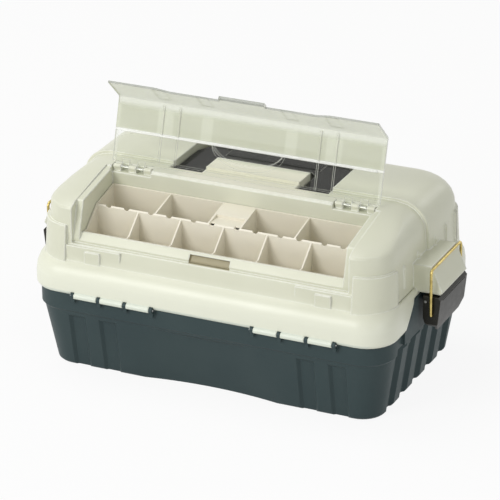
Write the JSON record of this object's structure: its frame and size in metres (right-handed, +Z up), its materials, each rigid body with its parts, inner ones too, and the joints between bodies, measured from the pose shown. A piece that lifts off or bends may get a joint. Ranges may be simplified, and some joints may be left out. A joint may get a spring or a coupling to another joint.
{
  "type": "fishing tackle box",
  "caption": "Moulded tackle box whose lid lifts cantilever trays, with a lure tray under a clear cover, wire bail latches and a fold-down handle.",
  "frame": {"origin": "middle of the footprint, on the face that it stands on", "axes": "+X along the length, +Y from the hinge side to the rear, +Z up"},
  "size_m": [0.4632, 0.2552, 0.2973],
  "materials": {
    "graphite_plastic": "textured injection-moulded, blue-grey",
    "black_graphite_plastic": "textured injection-moulded, dark grey",
    "stone_plastic": "fine-textured injection-moulded, greenish off-white",
    "ivory_plastic": "satin injection-moulded, ivory",
    "clear_plastic": "clear polycarbonate, faintly milky",
    "black_plastic": "glossy moulded",
    "brass_wire": "bright yellow plated wire",
    "steel": "zinc plated, satin"
  },
  "bodies": {
    "base": {"base_shell": "graphite_plastic", "hinge_pin_left": "steel", "hinge_pin_right": "steel", "lever_pin_left": "steel", "lever_pin_right": "steel", "base_rivets": "steel"},
    "lid": {"lid_shell": "stone_plastic", "lure_tray": "ivory_plastic", "cover_pin_left": "steel", "cover_pin_right": "steel", "handle_pin_left": "steel", "handle_pin_right": "steel", "lid_rivets": "steel"},
    "cover": {"clear_cover": "clear_plastic"},
    "handle": {"carry_handle": "black_plastic"},
    "lever_left": {"latch_lever_left": "black_graphite_plastic"},
    "lever_right": {"latch_lever_right": "black_graphite_plastic"},
    "bail_left": {"latch_bail_left": "brass_wire"},
    "bail_right": {"latch_bail_right": "brass_wire"},
    "front_arm_left": {"front_arm_left": "steel"},
    "front_arm_right": {"front_arm_right": "steel"},
    "rear_arm_left": {"rear_arm_left": "steel"},
    "rear_arm_right": {"rear_arm_right": "steel"},
    "lid_link_left": {"lid_link_left": "steel"},
    "lid_link_right": {"lid_link_right": "steel"},
    "lower_tray": {"lower_tray": "ivory_plastic", "lower_tray_dividers": "ivory_plastic", "lower_tray_rivets": "steel"},
    "upper_tray": {"upper_tray": "ivory_plastic", "upper_tray_dividers": "ivory_plastic", "upper_tray_rivets": "steel"}
  },
  "joints": [
    {"name": "lid_hinge", "type": "hinge", "parent": "base", "child": "lid", "pos_m": [0, -0.126, 0.09], "axis": [1, 0, 0], "range_deg": [0, 100]},
    {"name": "cover_hinge", "type": "hinge", "parent": "lid", "child": "cover", "pos_m": [0, -0.021, 0.1988], "axis": [1, 0, 0], "range_deg": [0, 116.6]},
    {"name": "handle_pivot", "type": "hinge", "parent": "lid", "child": "handle", "pos_m": [0, 0.003, 0.191], "axis": [1, 0, 0], "range_deg": [0, 80]},
    {"name": "lever_left_pivot", "type": "hinge", "parent": "base", "child": "lever_left", "pos_m": [-0.214, 0, 0.113], "axis": [0, 1, 0], "range_deg": [0, 60]},
    {"name": "bail_left_pivot", "type": "hinge", "parent": "lever_left", "child": "bail_left", "pos_m": [-0.2217, 0, 0.099], "axis": [0, -1, 0], "range_deg": [0, 240]},
    {"name": "front_arm_left_pivot", "type": "hinge", "parent": "base", "child": "front_arm_left", "pos_m": [-0.17875, -0.06, 0.07], "axis": [1, 0, 0], "range_deg": [0, 100]},
    {"name": "rear_arm_left_pivot", "type": "hinge", "parent": "base", "child": "rear_arm_left", "pos_m": [-0.17875, 0.005, 0.07], "axis": [1, 0, 0], "range_deg": [0, 100]},
    {"name": "lid_link_left_pivot", "type": "hinge", "parent": "lid", "child": "lid_link_left", "pos_m": [-0.18075, -0.046, 0.13], "axis": [1, 0, 0], "range_deg": [-100, 0]},
    {"name": "lever_right_pivot", "type": "hinge", "parent": "base", "child": "lever_right", "pos_m": [0.214, 0, 0.113], "axis": [0, -1, 0], "range_deg": [0, 60]},
    {"name": "bail_right_pivot", "type": "hinge", "parent": "lever_right", "child": "bail_right", "pos_m": [0.2217, 0, 0.099], "axis": [0, 1, 0], "range_deg": [0, 240]},
    {"name": "front_arm_right_pivot", "type": "hinge", "parent": "base", "child": "front_arm_right", "pos_m": [0.17875, -0.06, 0.07], "axis": [1, 0, 0], "range_deg": [0, 100]},
    {"name": "rear_arm_right_pivot", "type": "hinge", "parent": "base", "child": "rear_arm_right", "pos_m": [0.17875, 0.005, 0.07], "axis": [1, 0, 0], "range_deg": [0, 100]},
    {"name": "lid_link_right_pivot", "type": "hinge", "parent": "lid", "child": "lid_link_right", "pos_m": [0.18075, -0.046, 0.13], "axis": [1, 0, 0], "range_deg": [-100, 0]},
    {"name": "lower_tray_pivot", "type": "hinge", "parent": "rear_arm_left", "child": "lower_tray", "pos_m": [-0.17875, 0.045, 0.09], "axis": [1, 0, 0], "range_deg": [-100, 0]},
    {"name": "upper_tray_pivot", "type": "hinge", "parent": "rear_arm_left", "child": "upper_tray", "pos_m": [-0.17875, 0.085, 0.11], "axis": [1, 0, 0], "range_deg": [-100, 0]}
  ],
  "couplings": [
    {"joint": "lever_left_pivot", "follows": "lid_hinge", "ratio": 0.6},
    {"joint": "bail_left_pivot", "follows": "lid_hinge", "ratio": 2.4},
    {"joint": "front_arm_left_pivot", "follows": "lid_hinge", "ratio": 1},
    {"joint": "rear_arm_left_pivot", "follows": "lid_hinge", "ratio": 1},
    {"joint": "lid_link_left_pivot", "follows": "lid_hinge", "ratio": -1},
    {"joint": "lever_right_pivot", "follows": "lid_hinge", "ratio": 0.6},
    {"joint": "bail_right_pivot", "follows": "lid_hinge", "ratio": 2.4},
    {"joint": "front_arm_right_pivot", "follows": "lid_hinge", "ratio": 1},
    {"joint": "rear_arm_right_pivot", "follows": "lid_hinge", "ratio": 1},
    {"joint": "lid_link_right_pivot", "follows": "lid_hinge", "ratio": -1},
    {"joint": "lower_tray_pivot", "follows": "lid_hinge", "ratio": -1},
    {"joint": "upper_tray_pivot", "follows": "lid_hinge", "ratio": -1}
  ]
}
